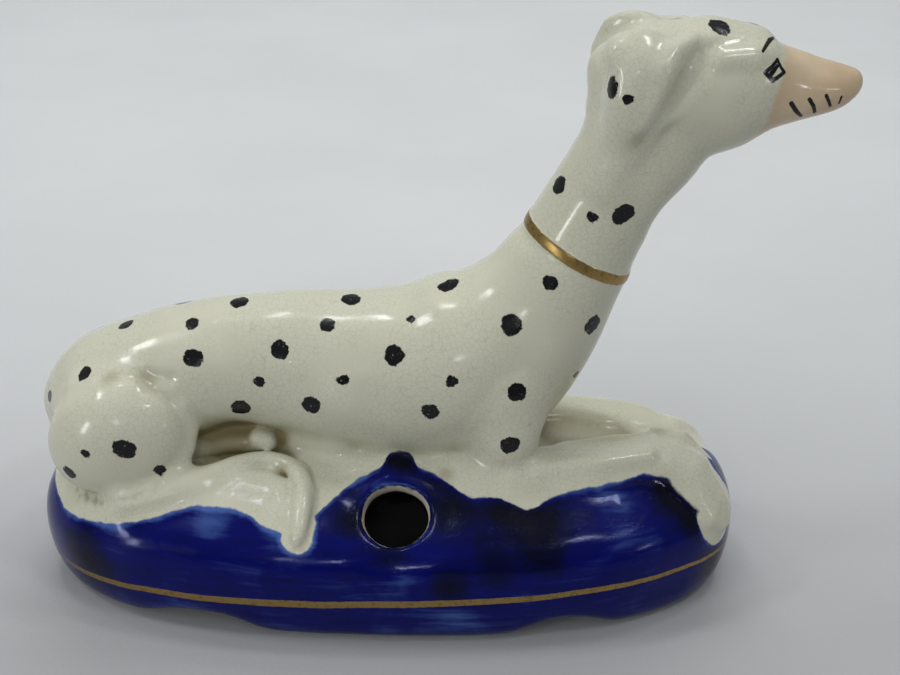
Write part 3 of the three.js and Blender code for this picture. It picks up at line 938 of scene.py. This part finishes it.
CREAM = (0.57, 0.575, 0.46)
CREAM_THICK_AND_SHADED = (0.45, 0.46, 0.34)
CREAM_WARM = (0.54, 0.52, 0.40)
CRACK_DARK = (0.34, 0.31, 0.22)
CRACK_PALE = (0.86, 0.85, 0.74)
STAIN_AND_SHADE = (0.16, 0.12, 0.035)
PEACH = (0.60, 0.475, 0.32)
PEACH_DEEP = (0.53, 0.38, 0.24)
INK = (0.005, 0.005, 0.006)
BLUE_WASH = (0.06, 0.12, 0.36)
BLUE = (0.0015, 0.003, 0.10)
BLUE_DEEP = (0.0015, 0.002, 0.03)
BLUE_POOL = (0.001, 0.001, 0.006)
BISQUE = (0.66, 0.62, 0.54)
BISQUE_DULL = (0.45, 0.40, 0.32)
# colour of the painted shade in the hole and inside the plinth
INNER_SHADE = (0.01, 0.009, 0.008)
GOLD = (0.36, 0.245, 0.085)
GOLD_WORN = (0.25, 0.165, 0.055)

# Brush strokes of the face on the right side: start and end in mm, and a radius at each end
STROKES = [
    ((69.2, -6.1, 108.8), (70.9, -6.8, 107.0), 0.30, 0.34),
    ((70.9, -6.8, 107.0), (68.6, -8.2, 105.8), 0.34, 0.42),
    ((68.6, -8.2, 105.8), (67.3, -8.1, 107.1), 0.46, 0.40),
    ((67.3, -8.1, 107.1), (69.2, -6.1, 108.8), 0.38, 0.34),
    ((69.5, -6.8, 107.9), (68.5, -7.6, 106.9), 0.34, 0.50),
    ((69.8, -2.4, 112.3), (68.4, -3.9, 111.7), 0.28, 0.42),
    ((68.4, -3.9, 111.7), (66.5, -6.5, 110.2), 0.46, 0.28),
    ((73.0, -6.7, 101.4), (73.9, -5.9, 99.6), 0.44, 0.42),
    ((73.9, -5.9, 99.6), (75.2, -4.8, 98.3), 0.42, 0.30),
    ((76.0, -5.9, 101.8), (77.5, -4.5, 99.2), 0.38, 0.34),
    ((79.2, -5.0, 102.1), (80.5, -4.0, 100.2), 0.34, 0.28),
    ((82.0, -3.9, 101.8), (82.0, -3.7, 100.4), 0.26, 0.20),
]
LONG_STROKE = 2.4     # a stroke longer than this is bent in its middle, mm


def snapped(point):
    """A place on the skin itself."""
    return place[skin_point(*point)]


def curved_strokes():
    """The strokes, bent where they are long so that they stay on the skin."""
    for start, end, start_radius, end_radius in STROKES:
        a, b = snapped(start), snapped(end)
        middle_radius = (start_radius + end_radius) / 2
        if np.linalg.norm(b - a) > LONG_STROKE:
            middle = snapped((a + b) / 2)
            yield a, middle, start_radius, middle_radius
            yield middle, b, middle_radius, end_radius
        else:
            yield a, b, start_radius, end_radius


def face_ink(tree, position):
    """Distance in mm outside the brush strokes of the face, mirrored to both sides."""
    centred = tree.vector("ADD", position, (-MID_X, 0, 0))
    parts = tree.make("ShaderNodeSeparateXYZ", {0: centred}, 0).node
    folded = tree.make("ShaderNodeCombineXYZ", {
        0: parts.outputs[0], 1: tree.times(tree.math("ABSOLUTE", parts.outputs[1]), -1.0),
        2: parts.outputs[2],
    })
    best = None
    for a, b, start_radius, end_radius in curved_strokes():
        run = b - a
        offset = tree.vector("SUBTRACT", folded, tuple(a))
        share = tree.vector("DOT_PRODUCT", offset, tuple(run / (run @ run)), output="Value")
        share = tree.math("ADD", share, 0.0, clamp=True)
        scaled = tree.scaled(tuple(run), share)
        gap = tree.vector("LENGTH", tree.vector("SUBTRACT", offset, scaled), output="Value")
        radius = tree.add(tree.times(share, end_radius - start_radius), start_radius)
        gap = tree.math("SUBTRACT", gap, radius)
        best = gap if best is None else tree.least(best, gap)
    return best


def crazing(tree, position, size):
    """Fine cracks in the glaze: 1 on a crack."""
    sway = tree.make("ShaderNodeTexNoise", {"Vector": position, "Scale": 0.6 / size}, "Color")
    bent = tree.vector("ADD", position, tree.scaled(sway, 0.9 * size))
    edge = tree.make("ShaderNodeTexVoronoi", {"Vector": bent, "Scale": 1 / size}, "Distance",
                     feature="DISTANCE_TO_EDGE")
    return tree.step(edge, 0.015, 0.07, 1.0, 0.0)


def painted_glaze(name, face=False, gleam=(1.0, 1.0, 1.0), shine=0.32):
    """The whole figure's finish: cream glaze, overpainting, cobalt, gilding and bare clay, with
    painted shade in its creases and recesses, in the quill hole and inside the plinth, and painted
    sheen on the cobalt.
    """
    tree = Tree(bpy.data.materials.new(name))
    coordinate = tree.make("ShaderNodeTexCoord", {}, "Object")
    position = tree.scaled(coordinate, 1 / MM)
    cloud = tree.noise(position, 9, 3)
    patch = tree.noise(position, 24, 2)
    hand = tree.noise(position, 1.3, 3)
    grain = tree.noise(position, 0.28, 2)
    crease = tree.attribute("crease")
    recess = tree.attribute("recess")

    # cream body under a clear crazed glaze, greener and darker in recesses and brown in creases: real
    # staining where the glaze ran heavy, and painted shade where the hollows lie in shadow
    # painted shade and real glaze pooling: darker, greener cream in recesses
    thick_and_shaded = tree.step(tree.plus(tree.times(recess, 0.9), (cloud, 0.5)), -0.1, 0.5)
    colour = tree.mix(thick_and_shaded, CREAM, CREAM_THICK_AND_SHADED)
    colour = tree.mix(tree.step(patch, -0.12, 0.2, 0.0, 0.35), colour, CREAM_WARM)
    fine = crazing(tree, position, 0.5)
    coarse = crazing(tree, position, 1.2)
    where_fine = tree.step(tree.plus(patch, (cloud, 0.5)), -0.15, 0.2, 0.25, 1.0)
    lines = tree.most(tree.times(tree.times(fine, where_fine), 0.6), tree.times(coarse, 0.6))
    line_colour = tree.mix(tree.step(patch, 0.0, 0.2), CRACK_DARK, CRACK_PALE)
    colour = tree.mix(tree.times(lines, 0.5), colour, line_colour)
    # painted shade and real staining together: creases and recesses turn brown
    crease_stain_and_shade = tree.add(tree.step(crease, 0.3, 0.9), tree.step(recess, 0.2, 0.75))
    crease_stain_and_shade = tree.times(crease_stain_and_shade, tree.step(tree.plus(cloud, (hand, 0.5)), -0.3, 0.25, 0.3, 1.0))
    # brown blotches: real staining, and painted shade in the hollow under the belly
    blob_stain_and_shade = tree.step(tree.plus(tree.attribute("stain_and_shade_blobs"), (cloud, 0.5)), 0.1, 1.15)
    crease_stain_and_shade = tree.add(crease_stain_and_shade, tree.times(blob_stain_and_shade, tree.step(recess, -0.25, 0.25, 0.5, 1.1)))
    colour = tree.mix(tree.least(tree.times(crease_stain_and_shade, 0.8), 0.85), colour, STAIN_AND_SHADE)

    # peach muzzle
    peach = tree.step(tree.plus(tree.attribute("peach"), (hand, 1.2)), -0.7, 0.5)
    peach_colour = tree.mix(tree.step(cloud, -0.2, 0.2), PEACH, PEACH_DEEP)
    colour = tree.mix(tree.times(peach, 0.9), colour, peach_colour)

    # black spots with a brushed edge and a few missed flecks, and the painted face
    ink = tree.plus(tree.attribute("spot"), (hand, 1.1), (grain, 0.5))
    if face:
        ink = tree.least(ink, tree.plus(face_ink(tree, position), (grain, 0.14)))
    ink_share = tree.step(ink, -0.07, 0.09, 1.0, 0.0)
    fleck = tree.step(tree.plus(tree.noise(position, 0.35, 3), (hand, 0.6)), 0.17, 0.27)
    ink_share = tree.times(ink_share, tree.inverse(tree.times(fleck, 0.3)))
    colour = tree.mix(ink_share, colour, INK)

    # cobalt: thin and light at its edge and where the brush ran dry, lighter as painted sheen on the
    # deck's bulges, black where it pooled
    soft_hand = tree.noise(position, 2.6, 3)
    bleed = tree.plus(tree.attribute("blue"), (soft_hand, 1.2), (grain, 0.12))
    blue_share = tree.step(bleed, -0.15, 0.3)
    stretched = tree.vector("MULTIPLY", position, (0.10, 0.10, 1.0))
    streak = tree.noise(stretched, 1.5, 4, 0.6, 0.4)
    swirl = tree.noise(position, 13, 3, 0.5, 1.2)
    pool, wash_and_sheen = tree.attribute("pool"), tree.attribute("wash_and_sheen")
    depth = tree.plus(tree.step(bleed, 0.1, 1.5, 0.28, 0.62), (streak, 0.55), (swirl, 0.45),
                      (pool, 0.55), (wash_and_sheen, -0.24), (recess, 0.25))
    blue_colour = tree.mix(tree.step(depth, 0.02, 0.5), BLUE_WASH, BLUE)
    blue_colour = tree.mix(tree.step(depth, 0.45, 0.8), blue_colour, BLUE_DEEP)
    blue_colour = tree.mix(tree.step(depth, 0.8, 1.1), blue_colour, BLUE_POOL)
    colour = tree.mix(blue_share, colour, blue_colour)

    # bare clay in the hole and under the foot, and inside the plinth, darkened by painted shade deeper
    # in the hole and high up inside the plinth
    bare = tree.step(tree.plus(tree.attribute("bare"), (hand, 0.8)), -0.1, 0.25)
    clay_colour = tree.mix(tree.step(cloud, -0.2, 0.25), BISQUE, BISQUE_DULL)
    inner_shade = tree.step(tree.plus(tree.attribute("inner_shade"), (hand, 1.0)), -0.6, 1.0)
    clay_colour = tree.mix(inner_shade, clay_colour, INNER_SHADE)
    colour = tree.mix(bare, colour, clay_colour)

    # gilding, rubbed through in places
    brushed = tree.plus(tree.attribute("gilding"), (hand, 0.3), (grain, 0.12))
    gold = tree.step(brushed, -0.05, 0.08)
    worn = tree.step(tree.plus(tree.noise(position, 0.8, 4, 0.65), (patch, 0.4)), 0.1, 0.2)
    gold = tree.times(gold, tree.inverse(tree.times(worn, 0.22)))
    gold_colour = tree.mix(tree.step(tree.noise(position, 0.9, 3), -0.22, 0.0), GOLD_WORN, GOLD)
    colour = tree.mix(gold, colour, gold_colour)

    # relief in the glaze, and gloss
    height = tree.plus(tree.times(tree.noise(position, 3.5, 2), 0.5), (tree.most(fine, coarse), -0.05),
                       (ink_share, 0.12), (gold, 0.15), (tree.times(bare, grain), 0.6))
    normal = tree.make("ShaderNodeBump", {"Height": height, "Distance": 0.00012, "Strength": 0.55})

    roughness = tree.step(cloud, -0.25, 0.25, 0.07, 0.15)
    roughness = tree.plus(roughness, (crease_stain_and_shade, 0.12))
    for layer, least in ((ink_share, 0.12), (gold, 0.34), (bare, 0.8)):
        roughness = tree.most(roughness, tree.times(layer, least))
    tree.connect(tree.nodes["Principled BSDF"], {
        "Base Color": colour, "Roughness": roughness, "Metallic": tree.times(gold, 0.92),
        "Normal": normal, "IOR": 1.52, "Specular IOR Level": shine, "Specular Tint": (*gleam, 1.0),
    })
    return tree.owner


cream = painted_glaze("cream_glaze")
face = painted_glaze("face_glaze", face=True)
cobalt = painted_glaze("cobalt_glaze", gleam=(0.62, 0.68, 1.0), shine=0.2)
gilt = painted_glaze("gilt")
for name, piece in pieces.items():
    slot = "cream_glaze"
    finish = face if name.startswith("head") else cream
    if name in COBALT_PIECES:
        slot, finish = "cobalt_glaze", cobalt
    elif name == "collar_band":
        slot, finish = "gilt", gilt
    piece.data.materials.append(finish)
    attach(piece, "root")
    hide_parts(name)

# ---- studio

def paper():
    """Matt white paper, very slightly uneven, with painted shade that darkens it towards the camera.
    """
    tree = Tree(bpy.data.materials.new("backdrop_paper"))
    position = tree.make("ShaderNodeTexCoord", {}, "Object")
    tone = tree.make("ShaderNodeTexNoise", {"Vector": position, "Scale": 9.0, "Detail": 4.0}, "Fac")
    tooth = tree.make("ShaderNodeTexNoise", {"Vector": position, "Scale": 900.0}, "Fac")
    colour = tree.mix(tree.step(tone, 0.3, 0.7), (0.585, 0.60, 0.605), (0.62, 0.635, 0.64))
    depth = tree.make("ShaderNodeSeparateXYZ", {0: position}, 1)
    # painted shade: the paper in front of the figure, towards the camera, is darker
    colour = tree.mix(tree.step(depth, -0.18, 0.2), (0.3, 0.305, 0.315), colour)
    normal = tree.make("ShaderNodeBump", {"Height": tooth, "Distance": 0.0002, "Strength": 0.3})
    inputs = {"Base Color": colour, "Roughness": 0.7, "Normal": normal}
    tree.connect(tree.nodes["Principled BSDF"], inputs)
    return tree.owner


def backdrop():
    """A pale sheet that lies under the figure and curves up behind it."""
    half, near, far, radius, top = 1.2, -1.0, 0.55, 0.35, 1.1
    profile = [(near, 0.0), (far, 0.0)]
    for i in range(1, 13):
        angle = i / 12 * math.pi / 2
        profile.append((far + radius * math.sin(angle), radius * (1 - math.cos(angle))))
    profile.append((far + radius, top))
    corners = [(x, y, z) for y, z in profile for x in (-half, half)]
    faces = [(2 * i, 2 * i + 1, 2 * i + 3, 2 * i + 2) for i in range(len(profile) - 1)]
    mesh = bpy.data.meshes.new("backdrop")
    mesh.from_pydata(corners, [], faces)
    for face in mesh.polygons:
        face.use_smooth = True
    sheet = bpy.data.objects.new("backdrop", mesh)
    sheet.data.materials.append(paper())
    bpy.context.scene.collection.objects.link(sheet)


backdrop()
centre = Vector((MID_X * MM, 0, 0))
aim = centre + Vector((0, 0, 0.05))


def light_towards(name, direction, distance, size, power, gloss=True):
    """An area light seen from the figure in some direction."""
    data = bpy.data.lights.new(name, "AREA")
    data.shape = "RECTANGLE"
    data.size, data.size_y = size
    data.energy = power
    light = bpy.data.objects.new(name, data)
    light.location = aim + Vector(direction).normalized() * distance
    light.rotation_euler = (aim - light.location).to_track_quat("-Z", "Y").to_euler()
    light.visible_glossy = gloss
    bpy.context.scene.collection.objects.link(light)


# broad soft light that only shades, and small lamps that also show in the glaze
light_towards("ceiling", (0.0, 0.65, 0.76), 0.95, (0.8, 0.6), 4.15, gloss=False)
light_towards("room", (-0.3, -0.75, 0.58), 1.0, (0.7, 0.7), 1.95, gloss=False)
light_towards("lamp_over_rump", (-0.61, -0.07, 0.79), 0.8, (0.16, 0.07), 0.8)
light_towards("lamp_over_tail", (-0.25, 0.18, 0.95), 0.8, (0.12, 0.05), 0.5)
light_towards("lamp_over_paws", (0.33, 0.11, 0.93), 0.8, (0.14, 0.05), 0.6)
light_towards("lamp_over_brow", (0.44, -0.36, 0.82), 0.8, (0.13, 0.05), 0.6)
light_towards("lamp_by_camera", (-0.14, -0.91, 0.36), 0.9, (0.08, 0.04), 0.4)
light_towards("left_window", (-0.77, -0.61, 0.16), 0.8, (0.07, 0.2), 0.9)
light_towards("right_window", (0.78, -0.59, 0.22), 0.9, (0.08, 0.06), 0.3)


def studio_world():
    """A dim room, lighter above and behind the figure than on the camera's side."""
    tree = Tree(bpy.data.worlds.new("studio"))
    bpy.context.scene.world = tree.owner
    direction = tree.make("ShaderNodeTexCoord", {}, "Generated")
    slope = tree.vector("DOT_PRODUCT", direction, (0.0, 0.6, 0.8), "Value")
    level = tree.make("ShaderNodeMapRange", {
        "Value": slope, "From Min": -1.0, "To Min": 0.02, "To Max": 0.42,
    })
    background = {"Color": (0.95, 0.98, 1.0, 1), "Strength": level}
    tree.connect(tree.nodes["Background"], background)
    bpy.context.scene.view_settings.view_transform = "Standard"


studio_world()


SENSOR_WIDTH = 36      # mm
IMAGE_WIDTH = 900      # pixels
FOCAL_PIXELS = 1512    # focal length in pixels


def photo_camera():
    """The camera looks down at the dog's right side from close by."""
    elevation, azimuth, roll = math.radians(26), math.radians(0.6), math.radians(0.75)
    distance = 0.3
    target = centre + Vector((0.0122, 0, 0.05))
    back = Vector((math.sin(azimuth) * math.cos(elevation),
                   -math.cos(azimuth) * math.cos(elevation), math.sin(elevation)))
    data = bpy.data.cameras.new("camera")
    data.sensor_width = SENSOR_WIDTH
    data.lens = SENSOR_WIDTH * FOCAL_PIXELS / IMAGE_WIDTH
    data.clip_start = 0.01
    camera = bpy.data.objects.new("camera", data)
    camera.location = target + distance * back
    look = (-back).to_track_quat("-Z", "Y")
    camera.rotation_mode = "QUATERNION"
    camera.rotation_quaternion = look @ Quaternion((0, 0, 1), roll)
    bpy.context.scene.collection.objects.link(camera)
    bpy.context.scene.camera = camera


photo_camera()
